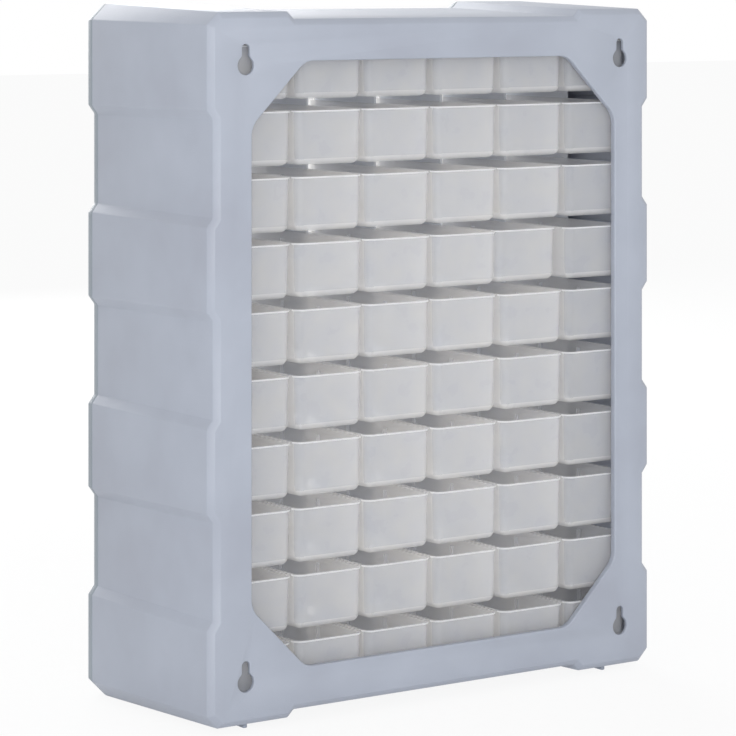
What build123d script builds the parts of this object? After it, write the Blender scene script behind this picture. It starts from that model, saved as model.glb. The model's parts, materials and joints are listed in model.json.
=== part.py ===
"""Parts bin cabinet: a drafted shell, a front frame with a drawer grid, and sixty clear drawers.

Millimetres, +Z up. The drawers' fronts face -Y and the open back faces +Y. The origin is
at the middle of the footprint, on the surface that the cabinet stands on.
"""
from build123d import *
from math import sin, tan, radians
import os

os.makedirs("parts", exist_ok=True)

# ---------------------------------------------------------------- driving dimensions
# drawer field
columns = 6
rows = 10
column_pitch = 57.3
row_pitch = 44.0

# housing: the shell behind the front frame
housing_depth = 145.0       # rear face to the seam with the front frame
housing_wall = 3.0
rear_wall = 3.0
draft_angle = 1.83          # the shell narrows towards the back, as it leaves its mould
side_margin = 18.1          # side of the housing to the drawer field, at the seam
bottom_margin = 15.0        # underside of the cabinet to the lowest shelf's middle
top_margin = 20.0           # top shelf's middle to the top of the cabinet
corner_chamfer = 11.0
rear_edge_chamfer = 3.8

# sunk bands: three across each side, one along the top and one along the bottom
side_band_count = 3
side_band_height = 61.0
side_end_block = 70.0       # raised block above the top band and below the bottom one
side_band_depth = 4.6
side_band_slope = 6.0       # height of the sloping step at each edge of a side band
top_band_depth = 4.8
top_band_slope = 5.0
corner_block_width = 69.0   # raised corner block, side of the housing to its sloping end

# rear opening and the flange moulded round it
rear_border = 37.2          # outline at the seam to the opening, on all four sides
rear_opening_corner = 42.5  # legs of the opening's cut corners
rear_opening_radius = 16.0
rear_flange_depth = 1.7
rear_flange_width = 3.0
rear_opening_edge = 1.0

# keyholes for wall screws
keyhole_from_side = 32.5
keyhole_from_bottom = 32.5
keyhole_from_top = 39.5
keyhole_head_diameter = 12.5
keyhole_slot_width = 6.0
keyhole_slot_rise = 11.0    # big hole's centre to the slot's top centre

# levelling ribs under the back, which take up the draft of the underside
rib_from_side = 39.0
rib_width = 3.0
rib_length = 70.0
rib_setback = 11.0          # rear face to the rib's end

# front frame
frame_depth = 8.0
frame_taper = 12.0
frame_plate = 3.0
spigot_length = 7.0
spigot_wall = 2.0
fit_clearance = 0.3

# drawer grid behind the front frame
grid_wall = 1.6
grid_depth = 75.0           # front of the frame to the shelves' rear edges

# drawers
drawer_head_room = 5.7      # rim to the shelf above
drawer_side_clearance = 0.6
drawer_floor_clearance = 0.4
drawer_rear_room = 6.2      # rear face of the housing to a closed drawer's rim
drawer_wall = 1.3
drawer_draft = 1.3
drawer_corner_radius = 6.0
drawer_floor_radius = 5.0
rim_overhang = 0.7
rim_thickness = 1.0
panel_gap = 0.7             # half the gap between two drawer fronts
panel_thickness = 2.0
panel_radius = 2.0
panel_edge = 0.5
panel_standoff = 0.3        # front frame to a closed drawer's front panel
pull_width = 26.0
pull_reach = 4.7
pull_height = 9.0
pull_lift = 4.0             # lower edge of the front panel to the pull's lip
pull_lip = 1.4
label_width = 36.0
label_height = 12.0
label_drop = 5.0            # upper edge of the front panel to the label's pocket
label_depth = 0.6
divider_rib = 0.8
divider_slot = 1.6
divider_spacing = 45.0
divider_count = 2
divider_first = 50.0        # inside of the front panel to the first divider slot
divider_drop = 5.0          # rim to the top of the divider ribs
paired_row = 10             # this row's drawers slide in pairs, as there are more drawers than files

# how far the drawers stand ajar, as no drawer is pushed home alike
column_ajar = (1.4, 1.3, 1.9, 1.8, 0.5, 0.6)    # each column's own, from column 1
ajar_swing = 0.4                                # more or less of it from row to row
ajar_odd_drawer = (4, 2)    # row and column of the one that stands out furthest
ajar_odd = 8.5

# ---------------------------------------------------------------- places worked out from them
field_width = columns * column_pitch
field_height = rows * row_pitch
housing_width = field_width + 2 * side_margin
housing_height = field_height + bottom_margin + top_margin
side_band_pitch = (
    housing_height - 2 * side_end_block - 2 * side_band_slope - side_band_height
) / (side_band_count - 1)
front_reach = frame_depth + panel_standoff + panel_thickness + pull_reach + ajar_odd
rear_y = (housing_depth + front_reach) / 2
seam_y = rear_y - housing_depth
frame_front_y = seam_y - frame_depth
draft = tan(radians(draft_angle))
middle_height = housing_height / 2
rear_opening_width = housing_width - 2 * rear_border
rear_opening_height = housing_height - 2 * rear_border
keyhole_spacing_x = housing_width - 2 * keyhole_from_side
keyhole_spacing_z = housing_height - keyhole_from_bottom - keyhole_from_top
keyhole_centre_height = keyhole_from_bottom + keyhole_spacing_z / 2
rib_spacing = housing_width - 2 * rib_from_side

drawer_width = column_pitch - grid_wall - 2 * drawer_side_clearance
drawer_height = row_pitch - grid_wall - drawer_floor_clearance - drawer_head_room
closed_panel_y = frame_front_y - panel_standoff
drawer_length = rear_y - drawer_rear_room - closed_panel_y

# sketch planes that face the back have local x towards -X, and local y is up in all of them
seam_plane = Plane(origin=(0, seam_y, 0), x_dir=(-1, 0, 0), z_dir=(0, 1, 0))
seam_plane_forward = Plane(origin=(0, seam_y, 0), x_dir=(1, 0, 0), z_dir=(0, -1, 0))
frame_front_plane = Plane(origin=(0, frame_front_y, 0), x_dir=(-1, 0, 0), z_dir=(0, 1, 0))
rear_plane = Plane(origin=(0, rear_y, 0), x_dir=(1, 0, 0), z_dir=(0, -1, 0))
inner_rear_plane = rear_plane.offset(rear_wall)


def shell_half_outline():
    """Right half of the cabinet's outline at the seam, from the top middle to the bottom middle."""
    side = housing_width / 2
    block_end = side - corner_block_width
    block_foot = block_end - top_band_slope
    upper = [
        (0, housing_height - top_band_depth),
        (block_foot, housing_height - top_band_depth),
        (block_end, housing_height),
        (side - corner_chamfer, housing_height),
        (side, housing_height - corner_chamfer),
    ]
    bands = []
    for index in range(side_band_count):
        centre = middle_height + ((side_band_count - 1) / 2 - index) * side_band_pitch
        inner = side_band_height / 2
        outer = inner + side_band_slope
        bands += [
            (side, centre + outer),
            (side - side_band_depth, centre + inner),
            (side - side_band_depth, centre - inner),
            (side, centre - outer),
        ]
    lower = [(x, housing_height - z) for x, z in reversed(upper)]
    return upper + bands + lower


def drawer_centre_x(column):
    return (column - (columns + 1) / 2) * column_pitch


def cell_bottom(row):
    """Height of the middle of the shelf that carries this row. Row 1 is the top row."""
    return bottom_margin + (rows - row) * row_pitch


def ajar(row, column):
    """How far this drawer stands out of its closed place."""
    if (row, column) == ajar_odd_drawer:
        return ajar_odd
    return column_ajar[column - 1] + ajar_swing * sin(5.3 * row + 2.1 * column)


# ---------------------------------------------------------------- outlines shared by the pieces
with BuildSketch() as shell_section:
    with BuildLine():
        Polyline(*shell_half_outline())
        mirror(about=Plane.YZ)
    make_face()

with BuildSketch() as rear_opening:
    with Locations((0, middle_height)):
        Rectangle(rear_opening_width, rear_opening_height)
    chamfer(rear_opening.vertices(), rear_opening_corner)
    fillet(rear_opening.vertices(), rear_opening_radius)

with BuildSketch() as keyhole:
    Circle(keyhole_head_diameter / 2)
    Rectangle(keyhole_slot_width, keyhole_slot_rise, align=(Align.CENTER, Align.MIN))
    shoulder = keyhole.vertices().filter_by(lambda corner: 0.1 < corner.Y < keyhole_slot_rise - 0.1)
    fillet(shoulder, keyhole_slot_width / 2)
    with Locations((0, keyhole_slot_rise)):
        Circle(keyhole_slot_width / 2)

# ---------------------------------------------------------------- housing
underside_at_rib = (housing_depth - rib_setback) * draft
underside_at_rib_front = underside_at_rib - rib_length * draft

with BuildPart() as housing:
    with BuildSketch(seam_plane):
        add(shell_section.sketch)
    extrude(amount=housing_depth, taper=draft_angle)
    chamfer(housing.faces().sort_by(Axis.Y)[-1].edges(), rear_edge_chamfer)
    with BuildSketch(seam_plane):
        add(shell_section.sketch)
        offset(amount=-housing_wall, kind=Kind.INTERSECTION, mode=Mode.REPLACE)
    extrude(amount=housing_depth - rear_wall, taper=draft_angle, mode=Mode.SUBTRACT)
    # the flange behind the opening's edge, then the opening through both
    with BuildSketch(inner_rear_plane):
        add(rear_opening.sketch)
        offset(amount=rear_flange_width, mode=Mode.REPLACE)
    extrude(amount=rear_flange_depth)
    with BuildSketch(rear_plane):
        add(rear_opening.sketch)
    extrude(amount=rear_wall + rear_flange_depth, mode=Mode.SUBTRACT)
    fillet(housing.faces().sort_by(Axis.Y)[-1].inner_wires()[0].edges(), rear_opening_edge)
    with BuildSketch(rear_plane):
        with Locations((0, keyhole_centre_height)):
            with GridLocations(keyhole_spacing_x, keyhole_spacing_z, 2, 2):
                add(keyhole.sketch)
    extrude(amount=rear_wall, mode=Mode.SUBTRACT)
    # levelling ribs under the back
    with BuildSketch(Plane.YZ.offset(-rib_spacing / 2 - rib_width / 2)) as rib_profile:
        with BuildLine():
            Polyline(
                (rear_y - rib_setback - rib_length, 0),
                (rear_y - rib_setback, 0),
                (rear_y - rib_setback, underside_at_rib + housing_wall / 2),
                (rear_y - rib_setback - rib_length, underside_at_rib_front + housing_wall / 2),
                close=True,
            )
        make_face()
    rib = extrude(amount=rib_width)
    mirror(rib, about=Plane.YZ)

# ---------------------------------------------------------------- front frame
frame_wall = housing_wall + fit_clearance + spigot_wall
grid_width = field_width + grid_wall
grid_height = field_height + grid_wall
grid_middle = bottom_margin + field_height / 2

with BuildPart() as front_frame:
    with BuildSketch(seam_plane_forward):
        add(shell_section.sketch)
    extrude(amount=frame_depth, taper=frame_taper)
    # spigot that plugs into the housing
    with BuildSketch(seam_plane):
        add(shell_section.sketch)
        offset(amount=-housing_wall - fit_clearance, kind=Kind.INTERSECTION, mode=Mode.REPLACE)
    extrude(amount=spigot_length, taper=draft_angle)
    # hollow behind the front plate
    with BuildSketch(seam_plane_forward.offset(-spigot_length)):
        add(shell_section.sketch)
        offset(
            amount=-frame_wall - spigot_length * draft,
            kind=Kind.INTERSECTION,
            mode=Mode.REPLACE,
        )
    extrude(amount=spigot_length + frame_depth - frame_plate, mode=Mode.SUBTRACT)
    # window for the drawer grid
    with BuildSketch(frame_front_plane):
        with Locations((0, grid_middle)):
            Rectangle(grid_width, grid_height)
    extrude(amount=frame_plate, mode=Mode.SUBTRACT)

# ---------------------------------------------------------------- drawer grid
# one moulding on the real cabinet: shelves right across, and a partition in each gap between
with BuildPart() as grid_shelves:
    shelf_places = [
        (0, frame_front_y, bottom_margin + index * row_pitch) for index in range(rows + 1)
    ]
    with Locations(*shelf_places):
        Box(grid_width, grid_depth, grid_wall, align=(Align.CENTER, Align.MIN, Align.CENTER))

with BuildPart() as grid_partitions:
    partition_places = [
        (-field_width / 2 + index * column_pitch, frame_front_y, bottom_margin + (level + 0.5) * row_pitch)
        for index in range(columns + 1)
        for level in range(rows)
    ]
    with Locations(*partition_places):
        Box(
            grid_wall,
            grid_depth,
            row_pitch - grid_wall,
            align=(Align.CENTER, Align.MIN, Align.CENTER),
        )

# ---------------------------------------------------------------- one drawer
# its own frame: x across, y = 0 at the back of the front panel, z = 0 at its shelf's middle
floor_z = grid_wall / 2 + drawer_floor_clearance
rim_z = floor_z + drawer_height
body_width = drawer_width - 2 * rim_overhang
body_length = drawer_length - rim_overhang
inner_width = body_width - 2 * drawer_wall
inner_length = body_length - drawer_wall
draft_loss = (drawer_height - drawer_wall) * tan(radians(drawer_draft))
narrow_half = inner_width / 2 - draft_loss
panel_bottom = panel_gap
panel_width = column_pitch - 2 * panel_gap
panel_height = row_pitch - 2 * panel_gap
pull_bottom = panel_bottom + pull_lift
pull_top = pull_bottom + pull_height
into_panel = panel_thickness / 2

with BuildPart() as drawer_hollow:
    with BuildSketch(Plane.XY.offset(rim_z)) as hollow_outline:
        Rectangle(inner_width, inner_length, align=(Align.CENTER, Align.MIN))
        fillet(
            hollow_outline.vertices().group_by(Axis.Y)[-1],
            drawer_corner_radius - drawer_wall,
        )
    extrude(amount=-(drawer_height - drawer_wall), taper=drawer_draft)
    fillet(drawer_hollow.faces().sort_by(Axis.Z)[0].edges(), drawer_floor_radius - drawer_wall)
    # ribs on both side walls, in pairs that hold a divider
    rib_places = [
        (side * (narrow_half - divider_rib), divider_first + index * divider_spacing + offset_y, floor_z)
        for side in (-1, 1)
        for index in range(divider_count)
        for offset_y in (-(divider_slot + divider_rib) / 2, (divider_slot + divider_rib) / 2)
    ]
    for x, y, z in rib_places:
        with Locations((x, y, z)):
            Box(
                inner_width,
                divider_rib,
                drawer_height - divider_drop,
                align=(Align.MIN if x > 0 else Align.MAX, Align.CENTER, Align.MIN),
                mode=Mode.SUBTRACT,
            )

with BuildPart() as drawer:
    with BuildSketch(Plane.XY.offset(rim_z)) as body_outline:
        with Locations((0, -into_panel)):
            Rectangle(body_width, body_length + into_panel, align=(Align.CENTER, Align.MIN))
        fillet(body_outline.vertices().group_by(Axis.Y)[-1], drawer_corner_radius)
    extrude(amount=-drawer_height, taper=drawer_draft)
    floor_edges = drawer.faces().sort_by(Axis.Z)[0].edges().sort_by(Axis.Y)[1:]
    fillet(floor_edges, drawer_floor_radius)
    # rim
    with BuildSketch(Plane.XY.offset(rim_z)) as rim_outline:
        with Locations((0, -into_panel)):
            Rectangle(drawer_width, drawer_length + into_panel, align=(Align.CENTER, Align.MIN))
        fillet(rim_outline.vertices().group_by(Axis.Y)[-1], drawer_corner_radius + rim_overhang)
    extrude(amount=-rim_thickness)
    # front panel with the label's pocket
    with BuildSketch(Plane.XZ):
        with Locations((0, panel_bottom + panel_height / 2)):
            RectangleRounded(panel_width, panel_height, panel_radius)
    extrude(amount=panel_thickness)
    fillet(drawer.faces().sort_by(Axis.Y)[0].edges(), panel_edge)
    with BuildSketch(Plane.XZ.offset(panel_thickness)):
        with Locations((0, panel_bottom + panel_height - label_drop - label_height / 2)):
            RectangleRounded(label_width, label_height, panel_edge * 2)
    extrude(amount=-label_depth, mode=Mode.SUBTRACT)
    # cup pull, open below
    with BuildSketch(Plane.YZ.offset(-pull_width / 2)):
        with BuildLine():
            hood = EllipticalCenterArc(
                (-panel_thickness, pull_bottom), pull_reach, pull_height, start_angle=90, arc_size=90
            )
            Polyline(
                hood @ 1,
                (-into_panel, pull_bottom),
                (-into_panel, pull_top),
                hood @ 0,
            )
        make_face()
    extrude(amount=pull_width)
    with BuildSketch(Plane.YZ.offset(-pull_width / 2 + pull_lip)):
        with BuildLine():
            hollow = EllipticalCenterArc(
                (-panel_thickness, pull_bottom),
                pull_reach - pull_lip,
                pull_height - pull_lip,
                start_angle=90,
                arc_size=90,
            )
            Polyline(hollow @ 1, (-panel_thickness, pull_bottom), hollow @ 0)
        make_face()
    extrude(amount=pull_width - 2 * pull_lip, mode=Mode.SUBTRACT)
    add(drawer_hollow.part, mode=Mode.SUBTRACT)

# ---------------------------------------------------------------- all the drawers, row by row
drawer_nodes = {}
for row in range(1, rows + 1):
    share = 2 if row == paired_row else 1
    for first in range(1, columns + 1, share):
        last = first + share - 1
        node = f"drawer_r{row:02d}_c{first}" if share == 1 else f"drawers_r{row:02d}_c{first}_c{last}"
        drawer_places = [
            (drawer_centre_x(column), closed_panel_y - ajar(row, first), cell_bottom(row))
            for column in range(first, last + 1)
        ]
        with BuildPart() as placed:
            with Locations(*drawer_places):
                add(drawer.part)
        drawer_nodes[node] = placed.part

# ---------------------------------------------------------------- files
drawer_grid = Compound(children=[grid_shelves.part, grid_partitions.part])
pieces = {
    "housing": housing.part,
    "front_frame": front_frame.part,
    "drawer_grid": drawer_grid,
    **drawer_nodes,
}
for node, piece in pieces.items():
    piece.label = node
    export_step(piece, f"parts/{node}.step")
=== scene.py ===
"""Parts bin cabinet, seen from behind: the finish of its moulded shell and its milky drawers."""
import json
from math import radians

import bmesh
import bpy
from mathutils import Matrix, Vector

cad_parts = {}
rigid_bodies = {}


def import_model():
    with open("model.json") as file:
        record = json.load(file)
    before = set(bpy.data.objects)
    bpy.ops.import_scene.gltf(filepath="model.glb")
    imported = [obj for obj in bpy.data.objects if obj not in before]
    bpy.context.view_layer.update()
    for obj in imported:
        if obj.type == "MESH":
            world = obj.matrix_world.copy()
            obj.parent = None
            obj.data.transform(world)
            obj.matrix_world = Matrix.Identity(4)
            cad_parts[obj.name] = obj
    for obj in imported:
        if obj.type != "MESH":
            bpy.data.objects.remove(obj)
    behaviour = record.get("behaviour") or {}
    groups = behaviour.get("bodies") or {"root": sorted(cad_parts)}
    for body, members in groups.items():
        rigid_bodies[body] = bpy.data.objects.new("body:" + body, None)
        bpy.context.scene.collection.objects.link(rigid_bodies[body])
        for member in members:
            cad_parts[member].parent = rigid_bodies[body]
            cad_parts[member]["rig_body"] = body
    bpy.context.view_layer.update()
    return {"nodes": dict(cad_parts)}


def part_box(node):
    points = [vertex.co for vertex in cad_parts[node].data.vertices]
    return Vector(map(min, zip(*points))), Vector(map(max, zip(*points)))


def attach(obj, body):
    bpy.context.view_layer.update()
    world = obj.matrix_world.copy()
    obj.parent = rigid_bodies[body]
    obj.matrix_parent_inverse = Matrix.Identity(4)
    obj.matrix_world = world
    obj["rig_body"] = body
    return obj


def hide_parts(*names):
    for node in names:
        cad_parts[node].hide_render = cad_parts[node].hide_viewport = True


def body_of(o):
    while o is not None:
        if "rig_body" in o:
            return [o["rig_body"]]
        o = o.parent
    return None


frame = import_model()

# ---------------------------------------- camera, worked out from the photograph
IMAGE_SIDE = 736                # pixels
FOCAL_PIXELS = 3137.0           # focal length in pixels, fitted to the cabinet's edges and keyholes
HORIZON_ROW = -24.2             # eye level lies above the picture's upper edge
SENSOR_MM = 36.0
VIEW_TURN = 34.86               # degrees from square-on to the back
EYE_LEFT = 1.2623               # metres along +X, to the left as the camera looks at the back
EYE_BACK = 1.7252               # metres behind the rear face
EYE_HEIGHT = 0.494

# ---------------------------------------- sizes of the pieces made here, in metres
COLUMNS = 6
ROWS = 10
COLUMN_PITCH = 0.0573
ROW_PITCH = 0.044
GRID_WALL = 0.0016
GRID_DEPTH = 0.075
GRID_OVERLAP = 0.0003           # a partition runs this far into the shelves: they are one moulding
LOWEST_SHELF = 0.015
RIM_THICKNESS = 0.001           # the flange round the top of a drawer
SHELL_EDGE = 0.0009             # radius that the mould leaves on the shell's sharp edges
FRAME_EDGE = 0.0006
DRAWER_EDGE = 0.00022
GRID_EDGE = 0.00025
EDGE_SEGMENTS = 2               # faces across the radius of an edge
SAME_POINT = 1e-6               # vertices of a solid's mesh closer than this are one
RIM_SLACK = 0.0002              # a face this far under the flange still belongs to it
PANEL_DEPTH = 0.012             # a drawer's front panel and pull, which have no flange
FLOOR_REACH = 12.0

# ---------------------------------------- directions of faces and edges
ONE_FACE_BELOW = 0.3            # degrees between triangles that are joined up to one face
ROUNDED_ABOVE = 28              # degrees between faces whose edge gets the mould's radius
SHARP_ABOVE = 40                # degrees between faces that are shaded with a sharp edge
SIDE_WALL_X = 0.96              # share of X in the normal of a drawer's side wall
ROUNDING_Z = (0.2, 0.96)        # share of Z in the normals of the rounding of its floor


def linear(hex_colour):
    """sRGB hex to linear RGBA."""
    channels = [int(hex_colour[i:i + 2], 16) / 255 for i in (1, 3, 5)]
    return (*[c / 12.92 if c <= 0.04045 else ((c + 0.055) / 1.055) ** 2.4 for c in channels], 1.0)


def add_node(tree, kind, settings=None, inputs=None):
    """Adds one node, with its settings, its plain values and its links."""
    node = tree.nodes.new(kind)
    for name, value in (settings or {}).items():
        setattr(node, name, value)
    for name, value in (inputs or {}).items():
        if isinstance(value, bpy.types.NodeSocket):
            tree.links.new(value, node.inputs[name])
        else:
            node.inputs[name].default_value = value
    return node


def new_material(name):
    """An empty node material, with its tree."""
    material = bpy.data.materials.new(name)
    material.use_nodes = True
    material.node_tree.nodes.clear()
    return material, material.node_tree


def set_ramp(ramp, stops):
    """Puts these (position, hex colour) stops on a colour ramp that has two."""
    for _ in range(len(stops) - 2):
        ramp.elements.new(0.5)
    for element, (position, colour) in zip(ramp.elements, stops):
        element.position = position
        element.color = linear(colour)


# ---------------------------------------- materials
def moulded_polypropylene(name, dark, colour, pale):
    """Filled polypropylene from a spark-eroded steel mould. The grain of the mould takes the edge
    off every reflection, so the plastic looks satin, and slow flow clouds of a shade or two stand
    in it where the melt came together."""
    material, tree = new_material(name)
    point = add_node(tree, "ShaderNodeTexCoord").outputs["Object"]
    # flow clouds about 70 mm across
    clouds = add_node(tree, "ShaderNodeTexNoise", inputs={
        "Vector": point, "Scale": 14.0, "Detail": 3.0, "Roughness": 0.55})
    shade = add_node(tree, "ShaderNodeValToRGB", inputs={"Fac": clouds.outputs["Fac"]})
    set_ramp(shade.color_ramp, [(0.30, dark), (0.5, colour), (0.72, pale)])
    # spark-eroded grain: about 0.05 mm on the real one, drawn at 0.9 mm so that it shows
    grain = add_node(tree, "ShaderNodeTexNoise", inputs={
        "Vector": point, "Scale": 1100.0, "Detail": 2.0, "Roughness": 0.6})
    # shallow sink waves, about 40 mm long
    waves = add_node(tree, "ShaderNodeTexNoise", inputs={
        "Vector": point, "Scale": 26.0, "Detail": 1.0, "Roughness": 0.4})
    sinks = add_node(tree, "ShaderNodeBump", inputs={
        "Height": waves.outputs["Fac"], "Strength": 0.10, "Distance": 0.004})
    relief = add_node(tree, "ShaderNodeBump", inputs={
        "Height": grain.outputs["Fac"], "Strength": 0.20, "Distance": 0.0004,
        "Normal": sinks.outputs["Normal"]})
    gloss = add_node(tree, "ShaderNodeMapRange", inputs={
        "Value": clouds.outputs["Fac"], "To Min": 0.40, "To Max": 0.53})
    surface = add_node(tree, "ShaderNodeBsdfPrincipled", inputs={
        "Base Color": shade.outputs["Color"], "Roughness": gloss.outputs["Result"],
        "IOR": 1.49, "Normal": relief.outputs["Normal"]})
    add_node(tree, "ShaderNodeOutputMaterial", inputs={"Surface": surface.outputs["BSDF"]})
    return material


def milky_polypropylene(name, thin, thick, through, clearness, veil):
    """Natural polypropylene without pigment, moulded 1.3 mm thick in a polished mould. It is milky:
    the share clearness goes straight through, and of the rest the share veil is scattered on, a
    little warm, and what is left is scattered back, a little blue. So edges and ribs behind it show
    softly. Faint streaks run from front to back with the melt."""
    material, tree = new_material(name)
    point = add_node(tree, "ShaderNodeTexCoord").outputs["Object"]
    # streaks about 17 mm across and 70 mm long
    drawn_out = add_node(tree, "ShaderNodeMapping", inputs={
        "Vector": point, "Scale": (1.0, 0.25, 1.0)})
    streaks = add_node(tree, "ShaderNodeTexNoise", inputs={
        "Vector": drawn_out.outputs["Vector"], "Scale": 60.0, "Detail": 3.0, "Roughness": 0.5})
    shade = add_node(tree, "ShaderNodeValToRGB", inputs={"Fac": streaks.outputs["Fac"]})
    set_ramp(shade.color_ramp, [(0.3, thin), (0.7, thick)])
    gloss = add_node(tree, "ShaderNodeMapRange", inputs={
        "Value": streaks.outputs["Fac"], "To Min": 0.22, "To Max": 0.36})
    ripple = add_node(tree, "ShaderNodeBump", inputs={
        "Height": streaks.outputs["Fac"], "Strength": 0.08, "Distance": 0.002})
    skin = add_node(tree, "ShaderNodeBsdfPrincipled", inputs={
        "Base Color": shade.outputs["Color"], "Roughness": gloss.outputs["Result"], "IOR": 1.49,
        "Normal": ripple.outputs["Normal"]})
    glow = add_node(tree, "ShaderNodeBsdfTranslucent", inputs={"Color": linear(through)})
    milk = add_node(tree, "ShaderNodeMixShader", inputs={
        0: veil, 1: skin.outputs["BSDF"], 2: glow.outputs["BSDF"]})
    straight = add_node(tree, "ShaderNodeBsdfTransparent", inputs={"Color": linear("#ffffff")})
    surface = add_node(tree, "ShaderNodeMixShader", inputs={
        0: clearness, 1: milk.outputs["Shader"], 2: straight.outputs["BSDF"]})
    add_node(tree, "ShaderNodeOutputMaterial", inputs={"Surface": surface.outputs["Shader"]})
    return material


shell_plastic = moulded_polypropylene(
    "moulded polypropylene, satin blue-grey",
    dark="#a4a9b6", colour="#a9afbc", pale="#aeb4c1")
frame_plastic = moulded_polypropylene(
    "moulded polypropylene, satin slate grey",
    dark="#89929b", colour="#8f98a1", pale="#959ea7")
grid_plastic = moulded_polypropylene(
    "moulded polypropylene, satin light grey",
    dark="#cfd2d8", colour="#d4d7dd", pale="#d9dce2")
drawer_plastic = milky_polypropylene(
    "natural polypropylene, milky and smooth",
    thin="#ecf1fd", thick="#f7f9fe", through="#fffdf8", clearness=0.66, veil=0.45)
# milkier where the view runs along the plastic; its warmer light through is a painted glow,
# standing in for the warm light seen through the side walls and the floor's rounding
oblique_wall_plastic_painted_glow = milky_polypropylene(
    "natural polypropylene, milky and thick",
    thin="#f0f3fc", thick="#f8fafe", through="#fff9ee", clearness=0.50, veil=0.45)
# nearly opaque where the flange is seen along its edge, and near white: a painted highlight along
# the rim
rim_plastic_painted_highlight = milky_polypropylene(
    "natural polypropylene, milky, seen along its edge",
    thin="#fafbfe", thick="#fdfdff", through="#fffefc", clearness=0.12, veil=0.4)


# ---------------------------------------- pieces from the solids
def rounded_copy(node, edge_radius, material):
    """A copy of a solid's mesh, its triangles joined up to faces and its sharp edges rounded."""
    source = frame["nodes"][node]
    mesh = source.data.copy()
    shape = bmesh.new()
    shape.from_mesh(mesh)
    bmesh.ops.remove_doubles(shape, verts=shape.verts, dist=SAME_POINT)
    bmesh.ops.dissolve_limit(
        shape, angle_limit=radians(ONE_FACE_BELOW), verts=shape.verts, edges=shape.edges)
    shape.to_mesh(mesh)
    shape.free()
    piece = bpy.data.objects.new(node + "_moulded", mesh)
    bpy.context.collection.objects.link(piece)
    round_edges(piece, edge_radius)
    return finish_piece(piece, material, body_of(source)[0], node)


def round_edges(piece, edge_radius):
    """The radius that a mould leaves on an edge."""
    bevel = piece.modifiers.new("mould radius", "BEVEL")
    bevel.width = edge_radius
    bevel.segments = EDGE_SEGMENTS
    bevel.limit_method = "ANGLE"
    bevel.angle_limit = radians(ROUNDED_ABOVE)


def finish_piece(piece, material, body, node):
    """Turns the modifiers into plain mesh, smooths it, and puts the piece on its body."""
    evaluated = piece.evaluated_get(bpy.context.evaluated_depsgraph_get())
    mesh = bpy.data.meshes.new_from_object(evaluated)
    piece.modifiers.clear()
    piece.data = mesh
    mesh.shade_smooth()
    mesh.set_sharp_from_angle(angle=radians(SHARP_ABOVE))
    mesh.materials.clear()
    mesh.materials.append(material)
    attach(piece, body)
    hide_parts(node)
    return piece


def thicken_edges(drawer):
    """A drawer is milkier in its side walls and in the rounding of its floor, where the view runs
    along the plastic, and the light it lets through there is warmer: a painted warm glow that
    stands in for the light seen through those walls. It is milkiest in the flange round its top,
    which is seen along its edge, and palest there, a painted highlight along the rim."""
    mesh = drawer.data
    painted_glow_slot, rim_highlight_slot = len(mesh.materials), len(mesh.materials) + 1
    mesh.materials.append(oblique_wall_plastic_painted_glow)
    mesh.materials.append(rim_plastic_painted_highlight)
    points = [vertex.co for vertex in mesh.vertices]
    front = min(point.y for point in points)
    middle = (front + max(point.y for point in points)) / 2
    rim = max(point.z for point in points if point.y > middle)
    for face in mesh.polygons:
        corners = [points[index] for index in face.vertices]
        low = min(corner.z for corner in corners)
        near = min(corner.y for corner in corners)
        in_rounding = ROUNDING_Z[0] < abs(face.normal.z) < ROUNDING_Z[1]
        # the flange round the top gets the material with the painted highlight
        if low > rim - RIM_THICKNESS - RIM_SLACK and near > front + PANEL_DEPTH:
            face.material_index = rim_highlight_slot
        # side walls and the floor's rounding: milkier, with a painted warm glow
        elif abs(face.normal.x) > SIDE_WALL_X or in_rounding:
            face.material_index = painted_glow_slot


rounded_copy("housing", SHELL_EDGE, shell_plastic)
rounded_copy("front_frame", FRAME_EDGE, frame_plastic)
for node in sorted(frame["nodes"]):
    if node.startswith(("drawer_r", "drawers_r")):
        thicken_edges(rounded_copy(node, DRAWER_EDGE, drawer_plastic))


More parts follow.
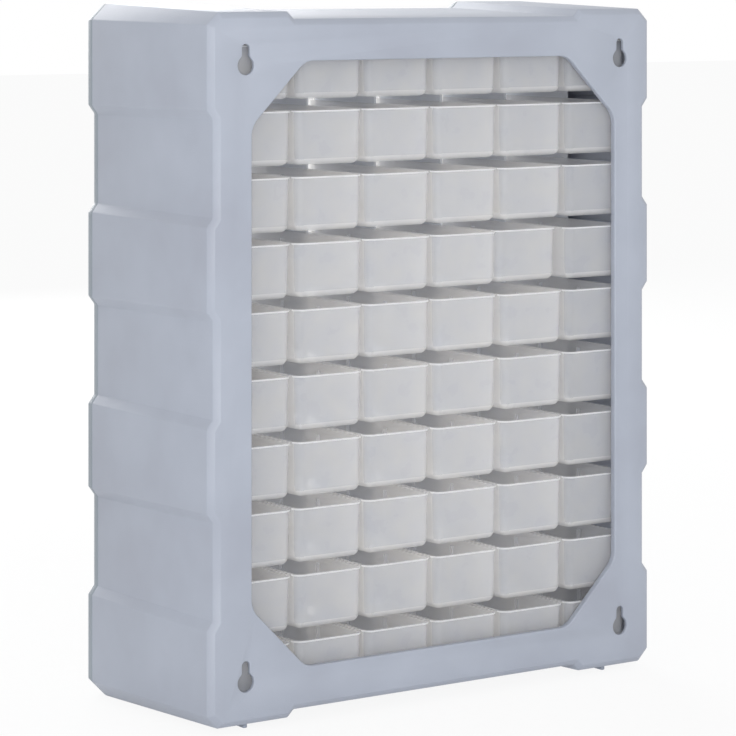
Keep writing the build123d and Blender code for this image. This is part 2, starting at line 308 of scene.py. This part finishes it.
# ---------------------------------------- the grid that carries the drawers
def lattice_tree(material):
    """Shelves and partitions of the drawer grid, from its pitches and wall."""
    tree = bpy.data.node_groups.new("drawer grid", "GeometryNodeTree")
    for name, kind in (
        ("Columns", "NodeSocketInt"), ("Rows", "NodeSocketInt"),
        ("Column Pitch", "NodeSocketFloat"), ("Row Pitch", "NodeSocketFloat"),
        ("Wall", "NodeSocketFloat"), ("Overlap", "NodeSocketFloat"),
        ("Depth", "NodeSocketFloat"), ("Front", "NodeSocketFloat"),
        ("Lowest Shelf", "NodeSocketFloat"),
    ):
        tree.interface.new_socket(name, in_out="INPUT", socket_type=kind)
    tree.interface.new_socket("Geometry", in_out="OUTPUT", socket_type="NodeSocketGeometry")

    # the inputs by name, and what is worked out from them
    value = {socket.name: socket for socket in add_node(tree, "NodeGroupInput").outputs}
    for name, operation, first, second in (
        ("half depth", "MULTIPLY", "Depth", 0.5),
        ("middle", "ADD", "Front", "half depth"),
        ("field width", "MULTIPLY", "Columns", "Column Pitch"),
        ("shelf width", "ADD", "field width", "Wall"),
        ("shelf count", "ADD", "Rows", 1.0),
        ("opening height", "SUBTRACT", "Row Pitch", "Wall"),
        ("both overlaps", "MULTIPLY", "Overlap", 2.0),
        ("partition height", "ADD", "opening height", "both overlaps"),
        ("half row", "MULTIPLY", "Row Pitch", 0.5),
        ("first row", "ADD", "Lowest Shelf", "half row"),
        ("first column", "MULTIPLY", "field width", -0.5),
        ("partition count", "ADD", "Columns", 1.0),
    ):
        result = add_node(tree, "ShaderNodeMath", {"operation": operation}, {
            0: value.get(first, first), 1: value.get(second, second)})
        value[name] = result.outputs[0]

    shelf_size = add_node(tree, "ShaderNodeCombineXYZ", inputs={
        "X": value["shelf width"], "Y": value["Depth"], "Z": value["Wall"]})
    shelf = add_node(tree, "GeometryNodeMeshCube", inputs={"Size": shelf_size.outputs[0]})
    shelf_start = add_node(tree, "ShaderNodeCombineXYZ", inputs={
        "Y": value["middle"], "Z": value["Lowest Shelf"]})
    upwards = add_node(tree, "ShaderNodeCombineXYZ", inputs={"Z": value["Row Pitch"]})
    shelf_places = add_node(tree, "GeometryNodeMeshLine", inputs={
        "Count": value["shelf count"], "Start Location": shelf_start.outputs[0],
        "Offset": upwards.outputs[0]})
    shelves = add_node(tree, "GeometryNodeInstanceOnPoints", inputs={
        "Points": shelf_places.outputs["Mesh"], "Instance": shelf.outputs["Mesh"]})

    partition_size = add_node(tree, "ShaderNodeCombineXYZ", inputs={
        "X": value["Wall"], "Y": value["Depth"], "Z": value["partition height"]})
    partition = add_node(tree, "GeometryNodeMeshCube", inputs={"Size": partition_size.outputs[0]})
    partition_start = add_node(tree, "ShaderNodeCombineXYZ", inputs={
        "X": value["first column"], "Y": value["middle"], "Z": value["first row"]})
    sideways = add_node(tree, "ShaderNodeCombineXYZ", inputs={"X": value["Column Pitch"]})
    partition_places = add_node(tree, "GeometryNodeMeshLine", inputs={
        "Count": value["partition count"], "Start Location": partition_start.outputs[0],
        "Offset": sideways.outputs[0]})
    partition_row = add_node(tree, "GeometryNodeInstanceOnPoints", inputs={
        "Points": partition_places.outputs["Mesh"], "Instance": partition.outputs["Mesh"]})
    row_places = add_node(tree, "GeometryNodeMeshLine", inputs={
        "Count": value["Rows"], "Offset": upwards.outputs[0]})
    partitions = add_node(tree, "GeometryNodeInstanceOnPoints", inputs={
        "Points": row_places.outputs["Mesh"], "Instance": partition_row.outputs["Instances"]})

    together = add_node(tree, "GeometryNodeJoinGeometry")
    for part in (shelves, partitions):
        tree.links.new(part.outputs["Instances"], together.inputs["Geometry"])
    solid = add_node(tree, "GeometryNodeRealizeInstances", inputs={
        "Geometry": together.outputs["Geometry"]})
    coloured = add_node(tree, "GeometryNodeSetMaterial", inputs={
        "Geometry": solid.outputs["Geometry"], "Material": material})
    add_node(tree, "NodeGroupOutput", inputs={"Geometry": coloured.outputs["Geometry"]})
    return tree


def drawer_lattice(material):
    """The grid as one piece, with the small radius of a moulding along its edges."""
    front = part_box("drawer_grid")[0][1]
    sizes = {
        "Columns": COLUMNS, "Rows": ROWS, "Column Pitch": COLUMN_PITCH, "Row Pitch": ROW_PITCH,
        "Wall": GRID_WALL, "Overlap": GRID_OVERLAP, "Depth": GRID_DEPTH, "Front": front,
        "Lowest Shelf": LOWEST_SHELF,
    }
    piece = bpy.data.objects.new("drawer_grid_moulded", bpy.data.meshes.new("drawer_grid_moulded"))
    bpy.context.collection.objects.link(piece)
    lattice = piece.modifiers.new("drawer grid", "NODES")
    lattice.node_group = lattice_tree(material)
    for socket in lattice.node_group.interface.items_tree:
        if socket.in_out == "INPUT":
            lattice[socket.identifier] = sizes[socket.name]
    round_edges(piece, GRID_EDGE)
    finish_piece(piece, material, "cabinet", "drawer_grid")


drawer_lattice(grid_plastic)


# ---------------------------------------- floor, light and camera
def white_share(tree, share):
    """The share where the camera, a reflection or clear plastic looks at the white, and 0 for the
    light that the white gives."""
    rays = add_node(tree, "ShaderNodeLightPath").outputs
    seen = add_node(tree, "ShaderNodeMath", {"operation": "MAXIMUM"}, {
        0: rays["Is Camera Ray"], 1: rays["Is Glossy Ray"]})
    looked_at = add_node(tree, "ShaderNodeMath", {"operation": "MAXIMUM"}, {
        0: seen.outputs[0], 1: rays["Is Transmission Ray"]})
    return add_node(tree, "ShaderNodeMath", {"operation": "MULTIPLY"}, {
        0: looked_at.outputs[0], 1: share}).outputs[0]


def white_floor():
    """A matt white sheet, close to paper white for the camera, that keeps the cabinet's shadow."""
    material, tree = new_material("matt white paper")
    point = add_node(tree, "ShaderNodeTexCoord").outputs["Object"]
    # fibre clouds about 11 mm across
    fibres = add_node(tree, "ShaderNodeTexNoise", inputs={
        "Vector": point, "Scale": 90.0, "Detail": 2.0})
    tint = add_node(tree, "ShaderNodeValToRGB", inputs={"Fac": fibres.outputs["Fac"]})
    set_ramp(tint.color_ramp, [(0.3, "#f3f4f5"), (0.7, "#f7f8f8")])
    matt = add_node(tree, "ShaderNodeBsdfDiffuse", inputs={"Color": tint.outputs["Color"]})
    white = add_node(tree, "ShaderNodeEmission", inputs={
        "Color": linear("#ffffff"), "Strength": 1.0})
    both = add_node(tree, "ShaderNodeMixShader", inputs={
        0: white_share(tree, share=0.9), 1: matt.outputs["BSDF"], 2: white.outputs["Emission"]})
    add_node(tree, "ShaderNodeOutputMaterial", inputs={"Surface": both.outputs["Shader"]})
    mesh = bpy.data.meshes.new("floor")
    quarters = ((-1, -1), (1, -1), (1, 1), (-1, 1))
    corners = [(x * FLOOR_REACH, y * FLOOR_REACH, 0) for x, y in quarters]
    mesh.from_pydata(corners, [], [(0, 1, 2, 3)])
    mesh.materials.append(material)
    floor = bpy.data.objects.new("floor", mesh)
    bpy.context.collection.objects.link(floor)


def soft_lamp(name, place, aim, side, power):
    """A square softbox at place, turned towards aim, with its side in metres and power in watts."""
    lamp = bpy.data.lights.new(name, "AREA")
    lamp.shape = "SQUARE"
    lamp.size = side
    lamp.energy = power
    holder = bpy.data.objects.new(name, lamp)
    holder.location = place
    holder.rotation_euler = (Vector(aim) - Vector(place)).to_track_quat("-Z", "Y").to_euler()
    bpy.context.collection.objects.link(holder)


def light_room():
    """Even pale surroundings that show as white, and two softboxes: one on the camera's side and
    one in front of the drawers."""
    world = bpy.data.worlds.new("studio")
    bpy.context.scene.world = world
    world.use_nodes = True
    tree = world.node_tree
    tree.nodes.clear()
    around = add_node(tree, "ShaderNodeBackground", inputs={
        "Color": linear("#ffffff"), "Strength": 0.65})
    backdrop = add_node(tree, "ShaderNodeBackground", inputs={
        "Color": linear("#ffffff"), "Strength": 1.0})
    both = add_node(tree, "ShaderNodeMixShader", inputs={
        0: white_share(tree, share=1.0),
        1: around.outputs["Background"], 2: backdrop.outputs["Background"]})
    add_node(tree, "ShaderNodeOutputWorld", inputs={"Surface": both.outputs["Shader"]})
    soft_lamp(
        "softbox behind", place=(1.25, 2.0, 0.58), aim=(0, 0, 0.24), side=1.0, power=23.0)
    soft_lamp(
        "softbox in front", place=(-0.5, -2.2, 1.2), aim=(0, 0, 0.25), side=1.6, power=36.0)


def photograph_camera():
    """The photograph's level camera, whose view is moved down by a vertical shift."""
    lens = bpy.data.cameras.new("camera")
    lens.sensor_width = SENSOR_MM
    lens.lens = SENSOR_MM * FOCAL_PIXELS / IMAGE_SIDE
    lens.shift_y = (HORIZON_ROW - IMAGE_SIDE / 2) / IMAGE_SIDE
    lens.clip_end = 50
    camera = bpy.data.objects.new("camera", lens)
    rear_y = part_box("housing")[1][1]
    camera.location = (EYE_LEFT, rear_y + EYE_BACK, EYE_HEIGHT)
    camera.rotation_euler = (radians(90), 0, radians(180 - VIEW_TURN))
    bpy.context.collection.objects.link(camera)
    bpy.context.scene.camera = camera


white_floor()
light_room()
photograph_camera()
bpy.context.scene.view_settings.view_transform = "Standard"
# the view passes up to a dozen thin walls, and the light in the drawers is scattered many times
bpy.context.scene.cycles.transparent_max_bounces = 40
bpy.context.scene.cycles.diffuse_bounces = 8
bpy.context.scene.cycles.transmission_bounces = 16
bpy.context.scene.cycles.max_bounces = 20
